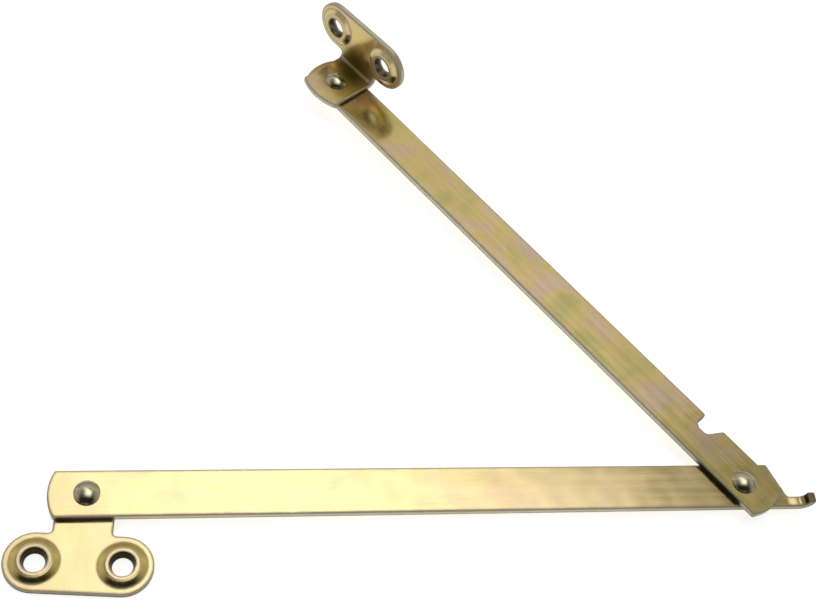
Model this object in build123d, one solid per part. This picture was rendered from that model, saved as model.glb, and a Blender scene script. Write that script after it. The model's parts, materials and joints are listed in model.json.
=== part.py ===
"""Folding lid stay: two flat steel arms, riveted at an elbow, between two screw brackets.

Frame: the origin is midway between the two screw holes of the side bracket, on its back face.
+X runs along that row of holes, +Y towards the arm pivot, and +Z away from the board that the
bracket is screwed to. The stay stands half open. All sizes are in millimetres and degrees.
"""
import os

from build123d import *

# Arms: two strips of the same sheet, of the same length between their pivots
ARM_LENGTH = 137.0
ARM_WIDTH = 10.0
ARM_SHEET = 1.5
END_REACH = 7.6             # from a pivot to the middle of a strip's crowned end
END_CROWN = 1.3             # bulge of a crowned end over its corners
BLANK_CORNER = 0.5          # rounding of a blank's corners, seen from above
EDGE_BREAK = 0.2            # bevel that tumbling leaves along the visible side's edge

# Tongue at the lower arm's elbow end, folded up into a stop tab
ELBOW_END_REACH = 6.9       # from the elbow pivot to the corner where its shoulder starts
TONGUE_WIDTH = 2.3
SHOULDER_RUN = 3.0          # how far the slanted shoulder runs on to the tongue
TONGUE_ROOT_RADIUS = 1.0
TAB_REACH = 13.6            # from the elbow pivot to the tab's inner face
TAB_RISE = 2.1              # height of the tab over the arm's face
TAB_BEND_RADIUS = 1.3
TAB_TIP_RADIUS = 0.5

# Upper arm: its pivots lie off its middle line, away from the notched edge
PIVOT_OFFSET = 0.9

# Notch in the upper arm's edge, which takes the tab when the stay is straight
NOTCH_START = 10.9          # from the elbow pivot, along the arm, to the foot of its ramp
NOTCH_RAMP = 2.0            # length of the ramp, along the arm
NOTCH_END = 16.2            # from the elbow pivot to its steep far wall
NOTCH_DEPTH = 3.7
NOTCH_ROOT_RADIUS = 1.5
NOTCH_LIP_RADIUS = 0.6

# Brackets: pressed from one thinner sheet
BRACKET_SHEET = 1.2
NECK_WIDTH = 11.5
NECK_ROOT_RADIUS = 0.8
SCREW_SPACING = 16.5
LOBE_RADIUS = 6.0
SCREWS_TO_PIVOT = 14.0      # side bracket, from the row of holes to the arm's pivot
SIDE_EAR_REACH = 5.2        # from the pivot to the hidden end of the side bracket's neck
LID_EAR_REACH = 7.0         # from the pivot to the open end of the lid bracket's ear
FLANGE_TO_PIVOT = 6.5       # from the lid pivot to the flange's inner face
FLANGE_RISE = 8.2           # from the ear's face up to the flange's row of holes
FLANGE_BEND_RADIUS = 0.8

# Pressed countersunk bosses round the screw holes
HOLE_RADIUS = 2.0
HOLE_LAND = 0.45            # depth of the straight hole, from the sheet's back
SEAT_RADIUS = 2.55          # the countersink's rim
CREST_RADIUS = 3.4          # outside of the flat crest
FOOT_RADIUS = 4.8           # where the boss leaves the sheet
BOSS_HEIGHT = 0.75
CREST_BREAK = 0.2           # bevel of the crest's outer edge
BACK_LIP = 0.6              # flat left on the back, inside and outside the hollow

# Rivets
SHANK_RADIUS = 1.5
HEAD_RADIUS = 2.6
HEAD_HEIGHT = 1.25
HEAD_RIM = 0.3              # upright edge under the dome
FLUSH_TAIL_RADIUS = 2.1
FLUSH_TAIL_DEPTH = 0.6
LOW_TAIL_RADIUS = 2.4       # tail that is flattened against the lower arm's back
LOW_TAIL_BREAK = 0.3

# Clearances
PIVOT_CLEARANCE = 0.05      # radial, between a shank and the piece that turns on it
LAYER_GAP = 0.05            # between two faces that slide over each other
BOARD_CLEARANCE = 0.15      # between the elbow rivet's tail and the board

# Pose in which the stay is modelled
ARM_SWING = 4.4             # lower arm, from the side bracket's row of holes
ELBOW_ANGLE = 53.9          # between the two arms
LID_TURN = 2.5              # lid bracket's bend line, from the upper arm

# Height of each layer's back face over the board
LOWER_ARM_Z = BRACKET_SHEET + LAYER_GAP
UPPER_ARM_Z = LOWER_ARM_Z + ARM_SHEET + LAYER_GAP
LID_EAR_Z = UPPER_ARM_Z + ARM_SHEET + LAYER_GAP
LID_HEAD_Z = LID_EAR_Z + BRACKET_SHEET + LAYER_GAP


def corner(face, x, y):
    """The vertex of a flat face that lies nearest to a point."""
    return face.vertices().sort_by_distance((x, y, 0))[0]


def through_hole(radius, sheet):
    """Cutter for a round hole through a sheet that lies on Z = 0."""
    return Cylinder(radius, 3 * sheet)


def flush_seat(sheet):
    """Cutter for the hole that a shank fills, with a countersink at Z = 0 for its flush tail."""
    return through_hole(SHANK_RADIUS, sheet) + flush_tail()


def flush_tail():
    """The cone that a rivet's tail is hammered into, widest at Z = 0."""
    return Cone(FLUSH_TAIL_RADIUS, SHANK_RADIUS, FLUSH_TAIL_DEPTH,
                align=(Align.CENTER, Align.CENTER, Align.MIN))


def crowned_strip(left, right, width):
    """Flat strip along X, from -left to right, with a shallow outward arc for each end."""
    half = width / 2
    left_corner = END_CROWN - left
    right_corner = right - END_CROWN
    strip = make_face([
        Line((left_corner, half), (right_corner, half)),
        ThreePointArc((right_corner, half), (right, 0), (right_corner, -half)),
        Line((right_corner, -half), (left_corner, -half)),
        ThreePointArc((left_corner, -half), (-left, 0), (left_corner, half)),
    ])
    return fillet(strip.vertices(), BLANK_CORNER)


def quarter_bend(sheet, radius, width):
    """Bend from flat along +X to upright, centred on Y = 0, of a sheet that lies on Z = 0."""
    section = Pos(0, 0, sheet / 2) * (Plane.YZ * Rectangle(width, sheet))
    bend_axis = Axis((0, 0, sheet + radius), (0, -1, 0))
    return revolve(section, bend_axis, 90)


def break_outline(plate, sheet):
    """Bevel the upper edge, all round the outline, of a sheet that lies on Z = 0."""
    upper_edges = plate.edges().filter_by_position(Axis.Z, sheet, sheet)
    return chamfer(upper_edges.sort_by(Axis.X)[0], EDGE_BREAK)


def lower_arm_blank():
    """Flat outline of the lower arm: crowned end, slanted shoulder and the tongue."""
    half = ARM_WIDTH / 2
    end_corner = END_CROWN - END_REACH
    cut_end = ARM_LENGTH + ELBOW_END_REACH
    tongue_root = cut_end + SHOULDER_RUN
    tongue_edge = TONGUE_WIDTH - half
    fold = ARM_LENGTH + TAB_REACH - TAB_BEND_RADIUS
    blank = make_face([
        ThreePointArc((end_corner, -half), (-END_REACH, 0), (end_corner, half)),
        Line((end_corner, half), (cut_end, half)),
        Line((cut_end, half), (tongue_root, tongue_edge)),
        Line((tongue_root, tongue_edge), (fold, tongue_edge)),
        Line((fold, tongue_edge), (fold, -half)),
        Line((fold, -half), (end_corner, -half)),
    ])
    blank = fillet(corner(blank, tongue_root, tongue_edge), TONGUE_ROOT_RADIUS)
    outer_corners = [corner(blank, cut_end, half), corner(blank, end_corner, half),
                     corner(blank, end_corner, -half)]
    return fillet(outer_corners, BLANK_CORNER)


def stop_tab():
    """The tongue's bend and upright end, with its tip rounded, from X = 0 at the fold."""
    upright = Pos(TAB_BEND_RADIUS, 0, ARM_SHEET + TAB_BEND_RADIUS) * Box(
        ARM_SHEET, TONGUE_WIDTH, TAB_RISE - TAB_BEND_RADIUS,
        align=(Align.MIN, Align.CENTER, Align.MIN))
    tip_corners = upright.faces().sort_by(Axis.Z)[-1].edges().filter_by(Axis.X)
    return quarter_bend(ARM_SHEET, TAB_BEND_RADIUS, TONGUE_WIDTH) + fillet(tip_corners, TAB_TIP_RADIUS)


def lower_arm():
    """Strip with a pivot hole at each end and a tongue that is folded up into a stop tab."""
    fold = ARM_LENGTH + TAB_REACH - TAB_BEND_RADIUS
    tongue_middle = (TONGUE_WIDTH - ARM_WIDTH) / 2
    arm = extrude(lower_arm_blank(), ARM_SHEET) + Pos(fold, tongue_middle) * stop_tab()
    arm = break_outline(arm, ARM_SHEET)
    arm -= through_hole(SHANK_RADIUS + PIVOT_CLEARANCE, ARM_SHEET)
    arm -= Pos(ARM_LENGTH, 0) * through_hole(SHANK_RADIUS, ARM_SHEET)
    return arm


def notch_outline():
    """Cutter outline of the notch, for an arm whose notched edge is on Y = 0 and below it."""
    ramp_foot = (NOTCH_START + NOTCH_RAMP, NOTCH_DEPTH)
    far_foot = (NOTCH_END, NOTCH_DEPTH)
    cutter = make_face(Polyline(
        (NOTCH_START, 0), ramp_foot, far_foot, (NOTCH_END, 0), close=True))
    return fillet([corner(cutter, *ramp_foot), corner(cutter, *far_foot)], NOTCH_ROOT_RADIUS)


def upper_arm():
    """Strip with a pivot hole at each end and a ramped notch in its outer edge at the elbow."""
    notched_edge = -ARM_WIDTH / 2 - PIVOT_OFFSET
    blank = Pos(0, -PIVOT_OFFSET) * crowned_strip(END_REACH, ARM_LENGTH + END_REACH, ARM_WIDTH)
    blank -= Pos(0, notched_edge) * notch_outline()
    lips = [corner(blank, x, notched_edge) for x in (NOTCH_START, NOTCH_END)]
    arm = break_outline(extrude(fillet(lips, NOTCH_LIP_RADIUS), ARM_SHEET), ARM_SHEET)
    arm -= through_hole(SHANK_RADIUS + PIVOT_CLEARANCE, ARM_SHEET)
    arm -= Pos(ARM_LENGTH, 0) * flush_seat(ARM_SHEET)
    return arm


def screw_places():
    """Places of a bracket's two screw holes, along X."""
    return [Pos(side * SCREW_SPACING / 2, 0) for side in (-1, 1)]


def screw_plate(neck_end, neck_reach):
    """Flat outline of a bracket: a lobe round each screw hole, and a neck towards +Y.

    The neck's end is the middle of a crown where it is free, or straight at a bend line.
    """
    half = NECK_WIDTH / 2
    neck = make_face([
        Line((-half, neck_reach), (-half, 0)),
        Line((-half, 0), (half, 0)),
        Line((half, 0), (half, neck_reach)),
        neck_end,
    ])
    plate = SlotCenterToCenter(SCREW_SPACING, 2 * LOBE_RADIUS) + neck
    roots = [corner(plate, side * half, LOBE_RADIUS) for side in (-1, 1)]
    return fillet(roots, NECK_ROOT_RADIUS)


def pressed_boss():
    """Ring pressed out of a sheet on Z = 0: slope, flat crest, countersink, hollow behind."""
    sheet = BRACKET_SHEET
    crest = sheet + BOSS_HEIGHT
    ring = make_face(Polyline(
        (HOLE_RADIUS, 0), (HOLE_RADIUS, HOLE_LAND), (SEAT_RADIUS, crest), (CREST_RADIUS, crest),
        (FOOT_RADIUS, sheet), (FOOT_RADIUS, 0), close=True))
    hollow = make_face(Polyline(
        (HOLE_RADIUS + BACK_LIP, 0), ((SEAT_RADIUS + CREST_RADIUS) / 2, BOSS_HEIGHT),
        (FOOT_RADIUS - BACK_LIP, 0), close=True))
    ring = chamfer(corner(ring, CREST_RADIUS, crest), CREST_BREAK)
    return revolve(Plane.XZ * (ring - hollow), Axis.Z)


def with_bosses(plate):
    """A plate on Z = 0 with a pressed boss in place of the flat sheet round each screw hole."""
    for place in screw_places():
        plate -= place * through_hole(FOOT_RADIUS, BRACKET_SHEET)
        plate += place * pressed_boss()
    return plate


def neck_crown(reach):
    """The free end of a neck: a shallow arc that bulges to the reach."""
    half = NECK_WIDTH / 2
    shoulder = reach - END_CROWN
    return ThreePointArc((half, shoulder), (0, reach), (-half, shoulder))


def side_bracket():
    """Flat bracket: a screw plate and a neck that carries the lower arm's rivet."""
    reach = SCREWS_TO_PIVOT + SIDE_EAR_REACH
    outline = screw_plate(neck_crown(reach), reach - END_CROWN)
    shoulders = [corner(outline, side * NECK_WIDTH / 2, reach - END_CROWN) for side in (-1, 1)]
    plate = extrude(fillet(shoulders, BLANK_CORNER), BRACKET_SHEET)
    plate = with_bosses(break_outline(plate, BRACKET_SHEET))
    return plate - Pos(0, SCREWS_TO_PIVOT) * flush_seat(BRACKET_SHEET)


def lid_bracket():
    """Angle bracket: an ear on the lid pivot, and a screw plate that is bent up from it."""
    half = NECK_WIDTH / 2
    ear_corner = END_CROWN - LID_EAR_REACH
    bend_line = FLANGE_TO_PIVOT - FLANGE_BEND_RADIUS
    ear = make_face([
        Line((half, ear_corner), (half, bend_line)),
        Line((half, bend_line), (-half, bend_line)),
        Line((-half, bend_line), (-half, ear_corner)),
        ThreePointArc((-half, ear_corner), (0, -LID_EAR_REACH), (half, ear_corner)),
    ])
    ear = fillet([corner(ear, side * half, ear_corner) for side in (-1, 1)], BLANK_CORNER)
    neck_reach = FLANGE_RISE - FLANGE_BEND_RADIUS
    flange = extrude(screw_plate(Line((half, neck_reach), (-half, neck_reach)), neck_reach),
                     BRACKET_SHEET)
    flange_place = Pos(0, FLANGE_TO_PIVOT + BRACKET_SHEET, BRACKET_SHEET + FLANGE_RISE)
    stand_up = flange_place * Rot(90, 0, 0) * Rot(0, 0, 180)
    bend = Pos(0, bend_line) * Rot(0, 0, 90) * quarter_bend(
        BRACKET_SHEET, FLANGE_BEND_RADIUS, NECK_WIDTH)
    bracket = extrude(ear, BRACKET_SHEET) + bend + stand_up * flange
    bracket = break_outline(bracket, BRACKET_SHEET)
    bracket = stand_up * with_bosses(stand_up.inverse() * bracket)
    return bracket - through_hole(SHANK_RADIUS + PIVOT_CLEARANCE, BRACKET_SHEET)


def rivet_head():
    """A shallow round cap on Z = 0, over a low upright rim."""
    cap_rise = HEAD_HEIGHT - HEAD_RIM
    cap_radius = (HEAD_RADIUS ** 2 + cap_rise ** 2) / (2 * cap_rise)
    outline = make_face([
        Line((0, 0), (HEAD_RADIUS, 0)),
        Line((HEAD_RADIUS, 0), (HEAD_RADIUS, HEAD_RIM)),
        RadiusArc((HEAD_RADIUS, HEAD_RIM), (0, HEAD_HEIGHT), -cap_radius),
        Line((0, HEAD_HEIGHT), (0, 0)),
    ])
    return revolve(Plane.XZ * outline, Axis.Z)


def low_tail():
    """A rivet's tail that is flattened to a disc below Z = 0, clear of the board."""
    disc = Cylinder(LOW_TAIL_RADIUS, LOWER_ARM_Z - BOARD_CLEARANCE,
                    align=(Align.CENTER, Align.CENTER, Align.MAX))
    return chamfer(disc.edges().sort_by(Axis.Z)[0], LOW_TAIL_BREAK)


def rivet(back, head_seat, tail):
    """Shank from the back of the joint up to a domed head, with its formed tail."""
    shank = Cylinder(SHANK_RADIUS, head_seat - back, align=(Align.CENTER, Align.CENTER, Align.MIN))
    return Pos(0, 0, head_seat) * rivet_head() + Pos(0, 0, back) * (shank + tail)


side_pivot = Pos(0, SCREWS_TO_PIVOT)
lower_arm_pose = side_pivot * Rot(0, 0, ARM_SWING)
elbow = lower_arm_pose * Pos(ARM_LENGTH, 0)
upper_arm_pose = elbow * Rot(0, 0, 180 - ELBOW_ANGLE)
lid_pivot = upper_arm_pose * Pos(ARM_LENGTH, 0)
lid_bracket_pose = lid_pivot * Rot(0, 0, 180 + LID_TURN)

pieces = {
    "side_bracket": side_bracket(),
    "bracket_rivet": side_pivot * rivet(0, UPPER_ARM_Z, flush_tail()),
    "lower_arm": lower_arm_pose * Pos(0, 0, LOWER_ARM_Z) * lower_arm(),
    "knee_rivet": elbow * rivet(LOWER_ARM_Z, LID_EAR_Z, low_tail()),
    "upper_arm": upper_arm_pose * Pos(0, 0, UPPER_ARM_Z) * upper_arm(),
    "lid_rivet": lid_pivot * rivet(UPPER_ARM_Z, LID_HEAD_Z, flush_tail()),
    "lid_bracket": lid_bracket_pose * Pos(0, 0, LID_EAR_Z) * lid_bracket(),
}

os.makedirs("parts", exist_ok=True)
for name, piece in pieces.items():
    piece.label = name
    export_step(piece, f"parts/{name}.step")
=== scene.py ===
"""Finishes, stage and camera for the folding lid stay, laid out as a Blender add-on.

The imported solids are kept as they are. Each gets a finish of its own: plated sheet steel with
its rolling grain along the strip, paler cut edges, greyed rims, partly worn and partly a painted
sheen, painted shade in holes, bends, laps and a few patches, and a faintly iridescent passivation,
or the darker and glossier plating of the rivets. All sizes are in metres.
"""
import json
import math
from typing import NamedTuple

import bpy
import numpy as np
from bpy.props import FloatProperty, FloatVectorProperty, PointerProperty
from mathutils import Matrix, Vector


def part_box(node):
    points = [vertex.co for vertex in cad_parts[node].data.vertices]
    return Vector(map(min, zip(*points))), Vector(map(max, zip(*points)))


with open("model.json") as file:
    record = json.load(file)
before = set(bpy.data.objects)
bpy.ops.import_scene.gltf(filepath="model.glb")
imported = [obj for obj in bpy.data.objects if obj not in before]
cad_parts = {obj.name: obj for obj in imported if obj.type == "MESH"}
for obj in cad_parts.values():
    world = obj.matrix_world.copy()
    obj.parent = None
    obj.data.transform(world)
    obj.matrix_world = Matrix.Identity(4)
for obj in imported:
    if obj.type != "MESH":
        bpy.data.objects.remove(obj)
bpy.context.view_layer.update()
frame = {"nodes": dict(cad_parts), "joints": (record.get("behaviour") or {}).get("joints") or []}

bl_info = {
    "name": "Lid Stay Finishes",
    "version": (1, 0, 0),
    "blender": (4, 5, 0),
    "location": "3D View > Sidebar > Lid Stay",
    "description": "Plated finishes, studio stage and camera for a folding lid stay",
    "category": "Object",
}

MM = 0.001


# ------------------------------------------------------------------ places, from the frame


def heading(start, end):
    """Direction from one point to another, in degrees from +X."""
    return math.degrees(math.atan2(end.y - start.y, end.x - start.x))


def beside(pivot, angle, along, across, height):
    """The point so far along and across a piece that runs at an angle, and over the board."""
    return pivot + Matrix.Rotation(math.radians(angle), 3, "Z") @ Vector((along, across, height))


PIVOTS = {joint["name"]: Vector(joint["pos_m"]) for joint in frame["joints"]}
KNEE = PIVOTS["elbow_fold"]
LID = PIVOTS["lid_turn"]
LOWER_ARM_ANGLE = heading(PIVOTS["arm_swing"], KNEE)
UPPER_ARM_ANGLE = heading(KNEE, LID)
SIDE_BRACKET_ANGLE = 90.0
LID_BRACKET_TURN = -87.5    # from the upper arm to the lid bracket's ear
LID_BRACKET_ANGLE = UPPER_ARM_ANGLE + LID_BRACKET_TURN

# Heights between which the lid bracket bends up into its flange
LID_EAR_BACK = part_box("lid_bracket")[0].z
BEND_BOTTOM = LID_EAR_BACK + 1.25 * MM
BEND_TOP = LID_EAR_BACK + 2.55 * MM

# Where the tongue starts and stops lifting towards its tab, along the lower arm, and how far
KNEE_RUN = (Matrix.Rotation(-math.radians(LOWER_ARM_ANGLE), 3, "Z") @ KNEE).x
LIFT_RUN = (KNEE_RUN + 9.5 * MM, KNEE_RUN + 12.1 * MM)
LIFT_HEIGHT = 0.2 * MM


# -------------------------------------------------------------------------------- the pieces


class ShadePatch(NamedTuple):
    """A patch of painted shade over the plating, strongest at its middle."""

    colour: str                 # which of the plating's colours it is
    middle: Vector
    reach: float
    strength: float


class Sheet(NamedTuple):
    """What sets the finish of one sheet piece apart from the others'."""

    grain: float                # which way it was rolled, in degrees from +X
    tint: float                 # how strongly its passivation is tinted
    face: str = "gold"          # which of the plating's colours its flat faces have
    slope: str = "gold"         # and its pressed or bent slopes
    bore_shade_depth: float = 1.0      # how dark the painted shade in its holes is
    # patches of painted shade laid over it
    shade_patches: tuple = ()
    flanged: bool = False       # whether it bends up into a flange that looks along the grain
    lifted: bool = False        # whether its tongue lifts a little before the fold


# Patches of painted shade: around the knee, over the turned-up tab, across the flange's middle and
# over the bend's highlight
KNEE_SHADE = ShadePatch("painted_shade_olive", beside(KNEE, LOWER_ARM_ANGLE, 0.0, 0.0, 3.0 * MM), 34.0 * MM, 0.5)
TAB_SHADE = ShadePatch(
    "painted_tab_shade", beside(KNEE, LOWER_ARM_ANGLE, 15.2 * MM, -3.2 * MM, 4.5 * MM), 4.2 * MM, 1.0)
FLANGE_SHADE = ShadePatch(
    "painted_shade_olive", beside(LID, LID_BRACKET_ANGLE, 6.5 * MM, 1.2 * MM, 9.0 * MM), 6.0 * MM, 0.7)
BEND_SHADE = ShadePatch(
    "painted_shade_olive", beside(LID, LID_BRACKET_ANGLE, 5.2 * MM, 0.1 * MM, 6.2 * MM), 8.0 * MM, 0.9)

ARMS = {
    "lower_arm": Sheet(LOWER_ARM_ANGLE, tint=0.25, shade_patches=(KNEE_SHADE, TAB_SHADE), lifted=True),
    "upper_arm": Sheet(UPPER_ARM_ANGLE, tint=0.95, face="deep_gold", shade_patches=(KNEE_SHADE,)),
}
BRACKETS = {
    "side_bracket": Sheet(SIDE_BRACKET_ANGLE, tint=0.3, slope="pressed"),
    "lid_bracket": Sheet(LID_BRACKET_ANGLE, tint=0.9, face="deep_gold", bore_shade_depth=0.5,
                         shade_patches=(FLANGE_SHADE, BEND_SHADE), flanged=True),
}
RIVETS = ("bracket_rivet", "knee_rivet", "lid_rivet")


# ------------------------------------------------------------------- how the effects are made

# Ranges are given as the value where an effect starts and the value where it is full.
# Spots are noise cells to the metre, and depths are the full height of a bump.

# Passivation: a broad and a fine noise are the film's thickness, which tints it rose or green
BROAD_SHARE = 0.88
FINE_SHARE = 0.12
FINER_BY = 4.3
ROSE_FILM = (0.47, 0.68)
GREEN_FILM = (0.51, 0.32)
FILM_RANGE = (0.3, 0.7)
FILM_ROUGHNESS = (-0.05, 0.07)          # added at the ends of the film's range
RIVET_FILM_ROUGHNESS = (-0.04, 0.08)

# Rolling grain: drawn out along X, with wider streaks in it
GRAIN_STRETCH = (0.018, 1.0, 0.3)
STREAK_FINENESS = 0.22                  # streaks to each line of the grain
GRAIN_SHARE = 0.6
STREAK_SHARE = 0.4
STREAK_RANGE = (0.42, 0.62)
STREAK_RUB = 0.1
STREAK_ROUGHNESS = 0.05
GRAIN_DEPTH = 0.01 * MM
GRAIN_STRENGTH = 0.35

# Rim wear and painted sheen: how far the rounded and the flat normal agree, broken up by a noise
BEVEL_SAMPLES = 6
RIM_AGREEMENT = (0.9995, 0.985)
RIM_SPOTS = 500.0
RIM_BREAKS = (0.25, 0.5)
RIM_BLOOM_AND_SHEEN = 0.75
RIM_ROUGHNESS = 0.5
BLOOM_AND_SHEEN_METALLIC = 0.2                    # what is left of the metal's look under full bloom and painted sheen

# Scuffs: sets of thin marks, each by the turn of its noise in radians and its spots
SCUFF_SETS = ((0.35, 7000.0), (-0.2, 9000.0), (1.3, 6000.0))
SCUFF_STRETCH = (0.025, 1.0, 1.0)
SCUFF_PEAKS = (0.72, 0.8)
SCUFF_RELIEF = -0.3                     # depth of a scuff, as a share of the grain's
SCUFF_ROUGHNESS = 0.06
RIVET_SCUFF_ROUGHNESS = 0.08

# Facing: how squarely a face looks through its sheet, 1 on a flat face and 0 on a cut edge
CUT_FACING = (0.6, 0.45)
SLOPE_FACING = (0.97, 0.9)
SLOPE_SHARE = 0.95
BEVEL_FACING_LOW = (0.6, 0.66)
BEVEL_FACING_HIGH = (0.82, 0.76)
CUT_ROUGHNESS = 0.08

# Openness: how much a place sees within a reach, 1 in the open and less in bends and holes
OPENNESS_SAMPLES = 8
HOLLOW_REACH = 9.0 * MM
LAP_REACH = 1.8 * MM
# Bends, holes and laps take painted shade by these ranges of openness
BEND_OPENNESS = (0.55, 0.25)
BORE_OPENNESS = (1.0, 0.88)
LAP_OPENNESS = (0.85, 0.6)
RIM_OPENNESS = (0.6, 0.78)              # the rims of a bend get neither bloom nor painted sheen

# Patches of painted shade: the ragged edge and the dark core, as shares of the reach
SHADE_PATCH_SPOTS = 260.0
SHADE_PATCH_RAGS = 0.5
SHADE_PATCH_EDGE = 1.25
SHADE_PATCH_CORE = 0.35

# Waviness of a rolled sheet
SAG_SPOTS = 110.0
SAG_DEPTH = 0.25 * MM
SAG_STRENGTH = 0.5

# Rivets: small patches, a rim that is hardly worn and a hammered face
RIVET_PATCH = 1.2 * MM
RIVET_TINT = 0.5
RIVET_RUB = 0.25
HAMMER_SPOTS = 1100.0
HAMMER_DEPTH = 0.03 * MM
HAMMER_STRENGTH = 0.4


# --------------------------------------------------------------------------- how it is staged


class Fade(NamedTuple):
    """How the surroundings brighten with the direction in which they lie from the stay."""

    axis: str                   # X right, Y back or Z up, each from -1 to 1, or the slant
    run: tuple                  # where the brightening starts and ends
    glow: tuple = (0.0, 1.0)    # brightness at its start and its end
    soft: bool = True


WALLS = {
    "overhead": Fade("Y", (-0.35, 0.45), (0.015, 0.255)),
    "behind": Fade("Y", (0.41, 0.58), (0.0, 0.34)),
    "left": Fade("X", (-0.55, -0.85), (0.0, 0.4)),
    "right": Fade("X", (0.5, 0.95), (0.0, 0.4)),
    "front": Fade("Y", (-0.7, -0.84), (0.0, 0.65)),
}
LOW_FRONT = (Fade("Z", (0.45, 0.3), (0.0, 0.4), soft=False),
             Fade("Y", (0.0, -0.3), soft=False))
DARKER_BELOW = Fade("Z", (-0.4, 0.8), soft=False)

# The soft window overhead: its slanted back, its left, right and front, and its foot
WINDOW = (Fade("slant", (1.32, 0.96)), Fade("X", (-0.4, 0.1)), Fade("X", (0.47, 0.25)),
          Fade("Y", (-0.3, 0.15)), Fade("Z", (0.0, 0.2), soft=False))
WINDOW_SLANT = 2.0                      # the slant is X and this many times Y
WINDOW_GLOW = 1.58

WHITE = (1.0, 1.0, 1.0)
ROOM_COLOUR = (1.0, 0.99, 0.97)
PAPER_COLOUR = (0.7, 0.7, 0.7)
SOLID_VIEW_PAPER = (0.93, 0.93, 0.92)
PAPER_SEEN = 0.8                        # glow of the paper to the eye
PAPER_MIRRORED = 0.45                   # and in the metal
FLOOR_DROP = 0.05 * MM                  # how far the floor lies under the side bracket's back
CLIP_START = 10.0 * MM


# ---------------------------------------------------------------------------------- settings


class PlatingSettings(bpy.types.PropertyGroup):
    """Colours and wear of the plated sheet steel."""

    gold: FloatVectorProperty(
        name="Plating colour", description="Main colour of the plating",
        default=(0.86, 0.665, 0.335), size=3, subtype="COLOR", min=0, max=1)
    deep_gold: FloatVectorProperty(
        name="Deep gold", description="Colour of the plating where the passivation is heavier",
        default=(0.86, 0.66, 0.26), size=3, subtype="COLOR", min=0, max=1)
    rose: FloatVectorProperty(
        name="Rose tint", description="Pinkish tint of the passivation's thicker patches",
        default=(0.76, 0.56, 0.40), size=3, subtype="COLOR", min=0, max=1)
    green: FloatVectorProperty(
        name="Green tint", description="Greenish tint of the passivation's thinner patches",
        default=(0.71, 0.64, 0.25), size=3, subtype="COLOR", min=0, max=1)
    sheared: FloatVectorProperty(
        name="Sheared edge", description="Colour of the cut edges, where the plating is thin",
        default=(0.76, 0.69, 0.50), size=3, subtype="COLOR", min=0, max=1)
    pressed: FloatVectorProperty(
        name="Pressed slope", description="Deep yellow of the plating that pressing stretched",
        default=(0.98, 0.76, 0.20), size=3, subtype="COLOR", min=0, max=1)
    # Painted shade in holes, bends and laps
    hollow_shade_olive: FloatVectorProperty(
        name="Crevice", description="Dark olive of holes, bends and laps, where oil and dust sit",
        default=(0.04, 0.033, 0.014), size=3, subtype="COLOR", min=0, max=1)
    rubbed: FloatVectorProperty(
        name="Rubbed grain", description="Colour of streaks that are rubbed down to bright zinc",
        default=(0.92, 0.88, 0.72), size=3, subtype="COLOR", min=0, max=1)
    # Rims: partly worn, partly a painted sheen on the edges
    rim_bloom_and_sheen: FloatVectorProperty(
        name="Rolled rim", description="Grey bloom of the rims, where the coat is thinnest",
        default=(0.68, 0.65, 0.52), size=3, subtype="COLOR", min=0, max=1)
    # Painted shade over the turned-up tab, in brown
    painted_tab_shade: FloatVectorProperty(
        name="Folded tab", description="Brown film over the plating that folding has crazed",
        default=(0.44, 0.36, 0.36), size=3, subtype="COLOR", min=0, max=1)
    # Painted shade around the knee, across the flange's middle and over the bend
    painted_shade_olive: FloatVectorProperty(
        name="Oil stain", description="Film of old oil over the plating, at the knee and the bend",
        default=(0.42, 0.44, 0.30), size=3, subtype="COLOR", min=0, max=1)
    roughness: FloatProperty(
        name="Roughness", description="Roughness of the plated face, before its variation",
        default=0.15, min=0, max=1, subtype="FACTOR")
    patch_size: FloatProperty(
        name="Patch size", description="Usual width of a tinted patch",
        default=8.5 * MM, min=0.5 * MM, unit="LENGTH", subtype="DISTANCE")
    grain_pitch: FloatProperty(
        name="Grain pitch", description="Spacing of the rolling grain across the strip",
        default=0.25 * MM, min=0.02 * MM, unit="LENGTH", subtype="DISTANCE")
    rim_reach: FloatProperty(
        name="Rim reach", description="How far the wear of the edges reaches from them",
        default=0.8 * MM, min=0.01 * MM, unit="LENGTH", subtype="DISTANCE")
    rim_softness: FloatProperty(
        name="Rim softness", description="Radius to which the edges look rounded",
        default=0.06 * MM, min=0.01 * MM, unit="LENGTH", subtype="DISTANCE")


class RivetSettings(bpy.types.PropertyGroup):
    """Colours and roughness of the rivets."""

    olive: FloatVectorProperty(
        name="Rivet colour", description="Main colour of the plated rivets",
        default=(0.70, 0.66, 0.45), size=3, subtype="COLOR", min=0, max=1)
    shade: FloatVectorProperty(
        name="Rivet shade", description="Darker tint in the rivets' plating",
        default=(0.36, 0.35, 0.19), size=3, subtype="COLOR", min=0, max=1)
    roughness: FloatProperty(
        name="Rivet roughness", description="Roughness of the hammered heads",
        default=0.15, min=0, max=1, subtype="FACTOR")


class StageSettings(bpy.types.PropertyGroup):
    """Floor and camera."""

    floor_width: FloatProperty(
        name="Floor width", description="Side of the square floor",
        default=3.0, min=0.5, unit="LENGTH", subtype="DISTANCE")
    camera_place: FloatVectorProperty(
        name="Camera place", description="Where the camera stands",
        default=(20.25 * MM, -105.66 * MM, 246.06 * MM), size=3, subtype="TRANSLATION")
    camera_target: FloatVectorProperty(
        name="Camera target", description="Point at the middle of the view",
        default=(64.66 * MM, 66.0 * MM, 3.0 * MM), size=3, subtype="TRANSLATION")
    camera_roll: FloatProperty(
        name="Camera roll", description="Turn of the camera about its line of sight",
        default=math.radians(16.37), subtype="ANGLE", unit="ROTATION")
    camera_lens: FloatProperty(
        name="Lens", description="Focal length, in millimetres on a 36 mm sensor",
        default=59.11, min=10)


# -------------------------------------------------------------------------------- node tools


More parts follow.
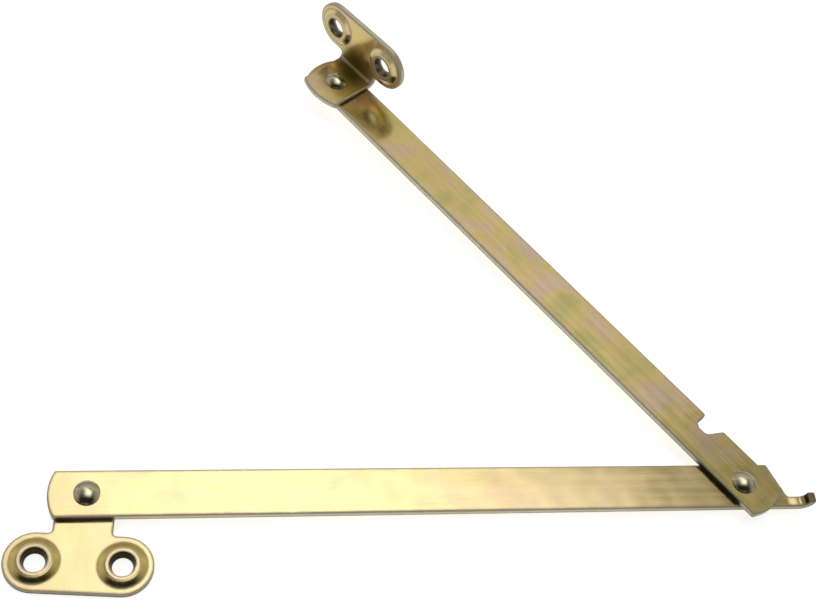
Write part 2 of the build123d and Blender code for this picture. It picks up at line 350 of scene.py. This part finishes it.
def plug(tree, value, socket):
    """Link a socket to another one, or give it a plain value."""
    if isinstance(value, bpy.types.NodeSocket):
        tree.links.new(value, socket)
    else:
        socket.default_value = value


def add_node(tree, kind, **values):
    """A node with its properties and inputs set by name, where a space is an underscore."""
    node = tree.nodes.new(kind)
    for key, value in values.items():
        if hasattr(node, key):
            setattr(node, key, value)
        else:
            plug(tree, value, node.inputs[key.replace("_", " ")])
    return node


def math_node(tree, operation, *values, kind="ShaderNodeMath"):
    """The value of an operation on numbers, or on vectors with a kind for them."""
    node = add_node(tree, kind, operation=operation)
    for socket, value in zip(node.inputs, values):
        plug(tree, value, socket)
    return node.outputs["Value"]


def vector_math(tree, operation, first, second):
    """The value of an operation on two vectors."""
    return math_node(tree, operation, first, second, kind="ShaderNodeVectorMath")


def chain(tree, operation, first, *others):
    """The value of an operation carried through a row of numbers."""
    for other in others:
        first = math_node(tree, operation, first, other)
    return first


def total(tree, *values):
    """The sum of a row of numbers."""
    return chain(tree, "ADD", *values)


def product(tree, *values):
    """The product of a row of numbers."""
    return chain(tree, "MULTIPLY", *values)


def spread(tree, value, old, new=(0.0, 1.0), soft=False):
    """A value carried from an old range to a new one, and held inside the new one."""
    node = add_node(tree, "ShaderNodeMapRange", Value=value,
                    interpolation_type="SMOOTHSTEP" if soft else "LINEAR",
                    From_Min=old[0], From_Max=old[1], To_Min=new[0], To_Max=new[1])
    return node.outputs["Result"]


def mix_colours(tree, factor, first, second, blend="MIX"):
    """Two colours mixed by a factor."""
    node = add_node(tree, "ShaderNodeMix", data_type="RGBA", blend_type=blend)
    sockets = {socket.identifier: socket for socket in (*node.inputs, *node.outputs)}
    plug(tree, factor, sockets["Factor_Float"])
    plug(tree, first, sockets["A_Color"])
    plug(tree, second, sockets["B_Color"])
    return sockets["Result_Color"]


def noise(tree, vector, spots, **values):
    """The value of a noise with so many spots to the metre."""
    node = add_node(tree, "ShaderNodeTexNoise", Vector=vector, Scale=spots, **values)
    return node.outputs["Fac"]


def mapped(tree, vector, turn=0.0, stretch=(1.0, 1.0, 1.0)):
    """A vector scaled along each axis, then turned about Z."""
    node = add_node(tree, "ShaderNodeMapping", Vector=vector,
                    Rotation=(0.0, 0.0, turn), Scale=stretch)
    return node.outputs["Vector"]


def bumped(tree, normal, height, depth, strength=1.0):
    """A normal tilted by a height, whose full range stands for a depth."""
    node = add_node(tree, "ShaderNodeBump", Height=height, Normal=normal,
                    Strength=strength, Distance=depth)
    return node.outputs["Normal"]


def openness(tree, reach, own_walls_only):
    """How much a place sees within a reach: 1 in the open, less in holes, bends and laps.

    Either the piece's own walls hide the view, or those of its neighbours as well.
    """
    node = add_node(tree, "ShaderNodeAmbientOcclusion", Distance=reach,
                    samples=OPENNESS_SAMPLES, only_local=own_walls_only)
    return node.outputs["AO"]


def mix_shaders(tree, factor, first, second):
    """Two shaders mixed by a factor."""
    node = tree.nodes.new("ShaderNodeMixShader")
    for socket, value in zip(node.inputs, (factor, first, second)):
        plug(tree, value, socket)
    return node.outputs["Shader"]


# ------------------------------------------------------------------------ shared node groups


def new_group(title, inputs, outputs):
    """A node group with its sockets, each a label and a kind, and the nodes at its two ends."""
    group = bpy.data.node_groups.new(title, "ShaderNodeTree")
    for direction, sockets in (("INPUT", inputs), ("OUTPUT", outputs)):
        for label, kind in sockets.items():
            group.interface.new_socket(label, in_out=direction, socket_type=f"NodeSocket{kind}")
    return group, group.nodes.new("NodeGroupInput"), group.nodes.new("NodeGroupOutput")


def passivation_group(title):
    """Patches of rose and green over gold, like the oil-film tints of a passivated coat."""
    group, start, end = new_group(
        title,
        {"Vector": "Vector", "Patch Size": "Float", "Gold": "Color", "Rose": "Color",
         "Green": "Color", "Amount": "Float"},
        {"Color": "Color", "Film": "Float"})
    place = start.outputs["Vector"]
    amount = start.outputs["Amount"]
    spots = math_node(group, "DIVIDE", 1.0, start.outputs["Patch Size"])
    broad = noise(group, place, spots, Detail=1.5, Roughness=0.5, Distortion=0.6)
    fine = noise(group, place, product(group, spots, FINER_BY), Detail=4.0, Roughness=0.6)
    film = total(group, product(group, broad, BROAD_SHARE), product(group, fine, FINE_SHARE))
    rosy = product(group, spread(group, film, ROSE_FILM, soft=True), amount)
    greenish = product(group, spread(group, film, GREEN_FILM, soft=True), amount)
    tinted = mix_colours(group, rosy, start.outputs["Gold"], start.outputs["Rose"])
    tinted = mix_colours(group, greenish, tinted, start.outputs["Green"])
    plug(group, tinted, end.inputs["Color"])
    plug(group, film, end.inputs["Film"])
    return group


def grain_group(title):
    """Rolling grain: noise drawn out along X, with a few wider streaks."""
    group, start, end = new_group(title, {"Vector": "Vector", "Pitch": "Float"},
                                  {"Height": "Float", "Streaks": "Float"})
    drawn = mapped(group, start.outputs["Vector"], stretch=GRAIN_STRETCH)
    spots = math_node(group, "DIVIDE", 1.0, start.outputs["Pitch"])
    fine = noise(group, drawn, spots, Detail=5.0, Roughness=0.7)
    wide = noise(group, drawn, product(group, spots, STREAK_FINENESS), Detail=3.0, Roughness=0.5)
    height = total(group, product(group, fine, GRAIN_SHARE), product(group, wide, STREAK_SHARE))
    plug(group, height, end.inputs["Height"])
    plug(group, spread(group, wide, STREAK_RANGE), end.inputs["Streaks"])
    return group


def rim_group(title):
    """Edge wear, which the sheets also use for a painted sheen: where the rounded normal leaves
    the flat one, broken up by a fine noise.
    """
    group, start, end = new_group(
        title, {"Vector": "Vector", "Reach": "Float", "Softness": "Float"},
        {"Mask": "Float", "Normal": "Vector"})
    flat = group.nodes.new("ShaderNodeNewGeometry").outputs["Normal"]
    rounded, softened = (
        add_node(group, "ShaderNodeBevel", Radius=start.outputs[label],
                 samples=BEVEL_SAMPLES).outputs["Normal"]
        for label in ("Reach", "Softness"))
    rim = spread(group, vector_math(group, "DOT_PRODUCT", rounded, flat), RIM_AGREEMENT)
    patchy = noise(group, start.outputs["Vector"], RIM_SPOTS, Detail=4.0, Roughness=0.65)
    plug(group, product(group, rim, spread(group, patchy, RIM_BREAKS)), end.inputs["Mask"])
    plug(group, softened, end.inputs["Normal"])
    return group


def scuff_group(title):
    """Handling marks: sparse thin scratches, the highest peaks of finely drawn-out noises."""
    group, start, end = new_group(title, {"Vector": "Vector"}, {"Mask": "Float"})
    marks = []
    for turn, spots in SCUFF_SETS:
        drawn = mapped(group, start.outputs["Vector"], turn, SCUFF_STRETCH)
        marks.append(spread(group, noise(group, drawn, spots, Detail=0.0), SCUFF_PEAKS))
    plug(group, chain(group, "MAXIMUM", *marks), end.inputs["Mask"])
    return group


GROUP_BUILDERS = {"Passivation tints": passivation_group, "Rolling grain": grain_group,
                  "Rim wear": rim_group, "Scuffs": scuff_group}


def place_group(tree, title, **values):
    """A shared node group in a material, with its inputs set. It is built on its first use."""
    group = bpy.data.node_groups.get(title) or GROUP_BUILDERS[title](title)
    return add_node(tree, "ShaderNodeGroup", node_tree=group, **values).outputs


# ---------------------------------------------------------------------------------- finishes


def rgba(colour):
    """A colour with full alpha."""
    return (*colour, 1.0)


def blank_material(name, colour):
    """A material with no nodes yet, and a plain colour for the solid view."""
    material = bpy.data.materials.new(name)
    material.use_nodes = True
    material.node_tree.nodes.clear()
    material.diffuse_color = rgba(colour)
    return material, material.node_tree


def finish_metal(material, colour, roughness, normal, metallic):
    """The metal shader itself, and the material's output."""
    tree = material.node_tree
    metal = add_node(tree, "ShaderNodeBsdfPrincipled", Base_Color=colour, Roughness=roughness,
                     Normal=normal, Metallic=metallic)
    add_node(tree, "ShaderNodeOutputMaterial", Surface=metal.outputs["BSDF"])
    return material


def squareness(tree, axis):
    """How squarely a face looks along an axis, to either side: from 0 to 1."""
    flat = tree.nodes.new("ShaderNodeNewGeometry").outputs["True Normal"]
    return math_node(tree, "ABSOLUTE", vector_math(tree, "DOT_PRODUCT", flat, axis))


def facing_sheet(tree, sheet, place):
    """How squarely a face looks through its sheet: 1 on a sheet face, 0 on a cut edge.

    The sheet lies flat, apart from a flange above the bend, which looks along the grain.
    In the bend, where both count, it is the root of the sum of their squares.
    """
    level = squareness(tree, (0.0, 0.0, 1.0))
    if not sheet.flanged:
        return level
    turn = math.radians(sheet.grain)
    upright = squareness(tree, (math.cos(turn), math.sin(turn), 0.0))
    height = add_node(tree, "ShaderNodeSeparateXYZ", Vector=place).outputs["Z"]
    below = math_node(tree, "LESS_THAN", height, BEND_TOP)
    above = math_node(tree, "GREATER_THAN", height, BEND_BOTTOM)
    along_z = product(tree, level, below)
    along_flange = product(tree, upright, above)
    squares = total(tree, product(tree, along_z, along_z),
                    product(tree, along_flange, along_flange))
    return math_node(tree, "SQRT", squares)


def shade_patch_mask(tree, place, shade_patch):
    """Mask of a patch of painted shade: strongest at its middle, gone at its reach, ragged
    between.
    """
    ragged = noise(tree, place, SHADE_PATCH_SPOTS, Detail=3.0)
    far = total(tree, vector_math(tree, "DISTANCE", place, shade_patch.middle),
                product(tree, ragged, shade_patch.reach * SHADE_PATCH_RAGS))
    return spread(tree, far, (shade_patch.reach * SHADE_PATCH_EDGE, shade_patch.reach * SHADE_PATCH_CORE),
                  (0.0, shade_patch.strength), soft=True)


def coat_layers(tree, sheet, settings, place, along):
    """The shared effects, with the values of one sheet: its tints, grain, rims and scuffs."""
    tints = place_group(tree, "Passivation tints", Vector=along, Amount=sheet.tint,
                        Patch_Size=settings.patch_size, Gold=rgba(getattr(settings, sheet.face)),
                        Rose=rgba(settings.rose), Green=rgba(settings.green))
    grain = place_group(tree, "Rolling grain", Vector=along, Pitch=settings.grain_pitch)
    rims = place_group(tree, "Rim wear", Vector=place, Reach=settings.rim_reach,
                       Softness=settings.rim_softness)
    scuffs = place_group(tree, "Scuffs", Vector=along)
    return {"tints": tints, "grain": grain, "rims": rims, "scuffs": scuffs}


def wear_and_shade_masks(tree, sheet, place, rims):
    """Where a sheet is cut, where it slopes, where its rims are worn and take a painted sheen, and
    where painted shade darkens its holes, bends and laps.
    """
    facing = facing_sheet(tree, sheet, place)
    cut = spread(tree, facing, CUT_FACING)
    slope = spread(tree, facing, SLOPE_FACING, (0.0, SLOPE_SHARE))
    bevel = product(tree, spread(tree, facing, BEVEL_FACING_LOW),
                    spread(tree, facing, BEVEL_FACING_HIGH))
    hollow = openness(tree, HOLLOW_REACH, own_walls_only=True)
    under = openness(tree, LAP_REACH, own_walls_only=False)
    # Rims: the worn edges and every chamfer, which take bloom and a painted sheen, none in hollows
    rim = product(tree, chain(tree, "MAXIMUM", rims["Mask"], bevel),
                  spread(tree, hollow, RIM_OPENNESS))
    # Painted shade: bends, and the cut walls of holes and laps, darkened by how little they see
    bend = spread(tree, hollow, BEND_OPENNESS)
    bore = product(tree, cut, spread(tree, hollow, BORE_OPENNESS, (0.0, sheet.bore_shade_depth)))
    lap = product(tree, cut, spread(tree, under, LAP_OPENNESS))
    painted_hollow_shade = chain(tree, "MAXIMUM", bend, bore, lap)
    return {"cut": cut, "slope": slope, "rim": rim, "painted_hollow_shade": painted_hollow_shade}


def sheet_colour(tree, sheet, settings, place, coat, wear):
    """A sheet's colour, layer on layer: tints, streaks, slopes, cut edges, rims with painted
    sheen, patches of painted shade, and painted shade in hollows.
    """
    rubbed = product(tree, coat["grain"]["Streaks"], STREAK_RUB)
    colour = mix_colours(tree, rubbed, coat["tints"]["Color"], rgba(settings.rubbed))
    colour = mix_colours(tree, wear["slope"], colour, rgba(getattr(settings, sheet.slope)))
    colour = mix_colours(tree, wear["cut"], colour, rgba(settings.sheared))
    # Rims: partly worn, partly a painted sheen
    bloom_and_sheen = product(tree, wear["rim"], RIM_BLOOM_AND_SHEEN)
    colour = mix_colours(tree, bloom_and_sheen, colour, rgba(settings.rim_bloom_and_sheen))
    # Patches of painted shade
    for shade_patch in sheet.shade_patches:
        colour = mix_colours(tree, shade_patch_mask(tree, place, shade_patch), colour,
                             rgba(getattr(settings, shade_patch.colour)), blend="MULTIPLY")
    # Painted shade in bends, holes and laps
    return mix_colours(tree, wear["painted_hollow_shade"], colour, rgba(settings.hollow_shade_olive))


def film_roughness(tree, film, roughness, changes):
    """Roughness that follows the film's thickness, changed by so much at either end."""
    return spread(tree, film, FILM_RANGE, [roughness + change for change in changes])


def sheet_roughness(tree, settings, coat, wear):
    """A sheet's roughness: its film's, and more on streaks, cut edges, rims and scuffs."""
    film = film_roughness(tree, coat["tints"]["Film"], settings.roughness, FILM_ROUGHNESS)
    return total(tree, film,
                 product(tree, coat["grain"]["Streaks"], STREAK_ROUGHNESS),
                 product(tree, wear["cut"], CUT_ROUGHNESS),
                 product(tree, wear["rim"], RIM_ROUGHNESS),
                 product(tree, coat["scuffs"]["Mask"], SCUFF_ROUGHNESS))


def sheet_normal(tree, sheet, along, coat):
    """A sheet's normal: soft edges, grain and scuffs, waviness, and a tongue that lifts."""
    relief = total(tree, coat["grain"]["Height"],
                   product(tree, coat["scuffs"]["Mask"], SCUFF_RELIEF))
    normal = bumped(tree, coat["rims"]["Normal"], relief, GRAIN_DEPTH, GRAIN_STRENGTH)
    sag = noise(tree, along, SAG_SPOTS, Detail=1.0)
    normal = bumped(tree, normal, sag, SAG_DEPTH, SAG_STRENGTH)
    if sheet.lifted:
        run = add_node(tree, "ShaderNodeSeparateXYZ", Vector=along).outputs["X"]
        normal = bumped(tree, normal, spread(tree, run, LIFT_RUN, soft=True), LIFT_HEIGHT)
    return normal


def plated_sheet(name, sheet, settings):
    """Plated sheet steel whose rolling grain runs along its strip."""
    material, tree = blank_material(name, settings.gold)
    place = tree.nodes.new("ShaderNodeTexCoord").outputs["Object"]
    along = mapped(tree, place, -math.radians(sheet.grain))
    coat = coat_layers(tree, sheet, settings, place, along)
    wear = wear_and_shade_masks(tree, sheet, place, coat["rims"])
    # Where the rims' bloom and painted sheen lie outside the painted shade, the metal's look fades
    unshaded_bloom_and_sheen = math_node(tree, "SUBTRACT", wear["rim"], wear["painted_hollow_shade"])
    return finish_metal(material,
                        sheet_colour(tree, sheet, settings, place, coat, wear),
                        sheet_roughness(tree, settings, coat, wear),
                        sheet_normal(tree, sheet, along, coat),
                        spread(tree, unshaded_bloom_and_sheen, (0.0, 1.0), (1.0, BLOOM_AND_SHEEN_METALLIC)))


def rivet_finish(name, settings, plating):
    """Darker and glossier plating, dulled in patches, with its rim rubbed bright."""
    material, tree = blank_material(name, settings.olive)
    place = tree.nodes.new("ShaderNodeTexCoord").outputs["Object"]
    tints = place_group(tree, "Passivation tints", Vector=place, Amount=RIVET_TINT,
                        Patch_Size=RIVET_PATCH, Gold=rgba(settings.olive),
                        Rose=rgba(plating.rose), Green=rgba(settings.shade))
    rims = place_group(tree, "Rim wear", Vector=place, Reach=plating.rim_softness,
                       Softness=plating.rim_softness)
    scuffs = place_group(tree, "Scuffs", Vector=place)
    colour = mix_colours(tree, product(tree, rims["Mask"], RIVET_RUB), tints["Color"],
                         rgba(plating.rubbed))
    film = film_roughness(tree, tints["Film"], settings.roughness, RIVET_FILM_ROUGHNESS)
    roughness = total(tree, film, product(tree, scuffs["Mask"], RIVET_SCUFF_ROUGHNESS))
    hammered = noise(tree, place, HAMMER_SPOTS, Detail=2.0, Roughness=0.5)
    normal = bumped(tree, rims["Normal"], hammered, HAMMER_DEPTH, HAMMER_STRENGTH)
    return finish_metal(material, colour, roughness, normal, metallic=1.0)


def dress(node, material):
    """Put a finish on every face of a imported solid."""
    slots = frame["nodes"][node].material_slots
    if not slots:
        raise RuntimeError(f"{node} has no material slot")
    for slot in slots:
        slot.material = material


def dress_sheets(sheets, settings):
    """Give sheet pieces their plated finish, each with a material of its own."""
    for node, sheet in sheets.items():
        dress(node, plated_sheet(f"{node}_plating", sheet, settings))


# ------------------------------------------------------------------------------------- stage


def aim(place, target, roll):
    """Rotation that looks from one point to another, turned about the line of sight."""
    sight = (Vector(target) - Vector(place)).to_track_quat("-Z", "Y")
    return sight.to_matrix().to_4x4() @ Matrix.Rotation(roll, 4, "Z")


def floor_mesh(width):
    """A flat square: its corners are every pairing of plus and minus half the width."""
    signs = np.array([[-1, -1], [1, -1], [1, 1], [-1, 1]], float)
    corners = np.column_stack([signs * width / 2, np.full(len(signs), -FLOOR_DROP)])
    mesh = bpy.data.meshes.new("floor")
    mesh.from_pydata(corners.tolist(), [], [(0, 1, 2, 3)])
    return mesh


def floor_finish():
    """Matt pale paper, bright to the eye, dim in reflections and not there from below."""
    material, tree = blank_material("pale_paper", SOLID_VIEW_PAPER)
    path = tree.nodes.new("ShaderNodeLightPath").outputs
    side = tree.nodes.new("ShaderNodeNewGeometry").outputs
    strength = total(tree, product(tree, path["Is Camera Ray"], PAPER_SEEN),
                     product(tree, path["Is Glossy Ray"], PAPER_MIRRORED))
    paper = add_node(tree, "ShaderNodeBsdfDiffuse", Color=rgba(PAPER_COLOUR))
    glow = add_node(tree, "ShaderNodeEmission", Color=rgba(WHITE), Strength=strength)
    lit = tree.nodes.new("ShaderNodeAddShader")
    plug(tree, paper.outputs["BSDF"], lit.inputs[0])
    plug(tree, glow.outputs["Emission"], lit.inputs[1])
    through = tree.nodes.new("ShaderNodeBsdfTransparent")
    whole = mix_shaders(tree, side["Backfacing"], lit.outputs["Shader"],
                        through.outputs["BSDF"])
    add_node(tree, "ShaderNodeOutputMaterial", Surface=whole)
    return material


def room_glow(tree):
    """Brightness of the surroundings: pale walls, darker below, and a soft window overhead."""
    direction = tree.nodes.new("ShaderNodeTexCoord").outputs["Generated"]
    split = add_node(tree, "ShaderNodeSeparateXYZ", Vector=direction).outputs
    axes = {"X": split["X"], "Y": split["Y"], "Z": split["Z"],
            "slant": total(tree, split["X"], product(tree, split["Y"], WINDOW_SLANT))}

    def faded(*fades):
        return [spread(tree, axes[fade.axis], fade.run, fade.glow, fade.soft) for fade in fades]

    walls = total(tree, *faded(*WALLS.values()), product(tree, *faded(*LOW_FRONT)))
    window = product(tree, *faded(*WINDOW), WINDOW_GLOW)
    return total(tree, product(tree, walls, *faded(DARKER_BELOW)), window)


def studio_world():
    """Surroundings that light the stay, behind a plain white that only the camera sees."""
    world = bpy.data.worlds.new("studio")
    world.use_nodes = True
    tree = world.node_tree
    tree.nodes.clear()
    path = tree.nodes.new("ShaderNodeLightPath").outputs
    room = add_node(tree, "ShaderNodeBackground", Color=rgba(ROOM_COLOUR),
                    Strength=room_glow(tree))
    backdrop = add_node(tree, "ShaderNodeBackground", Color=rgba(WHITE))
    seen = mix_shaders(tree, path["Is Camera Ray"], room.outputs["Background"],
                       backdrop.outputs["Background"])
    add_node(tree, "ShaderNodeOutputWorld", Surface=seen)
    bpy.context.scene.world = world


def stage_camera(settings):
    """The camera that frames the stay."""
    camera = bpy.data.objects.new("camera", bpy.data.cameras.new("camera"))
    camera.data.lens = settings.camera_lens
    camera.data.clip_start = CLIP_START
    camera.matrix_world = (
        Matrix.Translation(settings.camera_place)
        @ aim(settings.camera_place, settings.camera_target, settings.camera_roll))
    return camera


# --------------------------------------------------------------------------------- operators


class LIDSTAY_OT_arms(bpy.types.Operator):
    """Give the two arms their plated finish, each with its grain along the strip"""

    bl_idname = "lidstay.arms"
    bl_label = "Finish the arms"

    def execute(self, context):
        dress_sheets(ARMS, context.scene.lid_stay_plating)
        return {"FINISHED"}


class LIDSTAY_OT_brackets(bpy.types.Operator):
    """Give the two pressed brackets their plated finish"""

    bl_idname = "lidstay.brackets"
    bl_label = "Finish the brackets"

    def execute(self, context):
        dress_sheets(BRACKETS, context.scene.lid_stay_plating)
        return {"FINISHED"}


class LIDSTAY_OT_rivets(bpy.types.Operator):
    """Give the three rivets their darker, glossier finish"""

    bl_idname = "lidstay.rivets"
    bl_label = "Finish the rivets"

    def execute(self, context):
        scene = context.scene
        material = rivet_finish("rivet_plating", scene.lid_stay_rivets, scene.lid_stay_plating)
        for node in RIVETS:
            dress(node, material)
        return {"FINISHED"}


class LIDSTAY_OT_stage(bpy.types.Operator):
    """Lay the pale floor, light the surroundings and set up the camera"""

    bl_idname = "lidstay.stage"
    bl_label = "Build the stage"

    def execute(self, context):
        scene = context.scene
        settings = scene.lid_stay_stage
        floor = bpy.data.objects.new("floor", floor_mesh(settings.floor_width))
        floor.data.materials.append(floor_finish())
        scene.collection.objects.link(floor)
        studio_world()
        camera = stage_camera(settings)
        scene.collection.objects.link(camera)
        scene.camera = camera
        scene.view_settings.view_transform = "Standard"
        return {"FINISHED"}


class LIDSTAY_PT_sidebar(bpy.types.Panel):
    """Lists the steps and their settings"""

    bl_idname = "LIDSTAY_PT_sidebar"
    bl_label = "Lid Stay"
    bl_space_type = "VIEW_3D"
    bl_region_type = "UI"
    bl_category = "Lid Stay"

    def draw(self, context):
        for step in OPERATORS:
            self.layout.operator(step.bl_idname)
        for group in SETTINGS:
            owner = getattr(context.scene, group)
            for name in owner.bl_rna.properties.keys():
                if name not in {"rna_type", "name"}:
                    self.layout.prop(owner, name)


OPERATORS = (LIDSTAY_OT_arms, LIDSTAY_OT_brackets, LIDSTAY_OT_rivets, LIDSTAY_OT_stage)
SETTINGS = {"lid_stay_plating": PlatingSettings, "lid_stay_rivets": RivetSettings,
            "lid_stay_stage": StageSettings}


def register():
    """Add the classes, and one block of settings for each property group."""
    for group in SETTINGS.values():
        bpy.utils.register_class(group)
    for step in OPERATORS:
        bpy.utils.register_class(step)
    bpy.utils.register_class(LIDSTAY_PT_sidebar)
    for name, group in SETTINGS.items():
        setattr(bpy.types.Scene, name, PointerProperty(type=group))


def unregister():
    """Take away what register added."""
    for name in SETTINGS:
        delattr(bpy.types.Scene, name)
    for kind in (LIDSTAY_PT_sidebar, *OPERATORS, *SETTINGS.values()):
        bpy.utils.unregister_class(kind)


def main():
    """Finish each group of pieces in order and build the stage."""
    register()
    bpy.ops.lidstay.arms()
    bpy.ops.lidstay.brackets()
    bpy.ops.lidstay.rivets()
    bpy.ops.lidstay.stage()


if __name__ == "__main__":
    main()
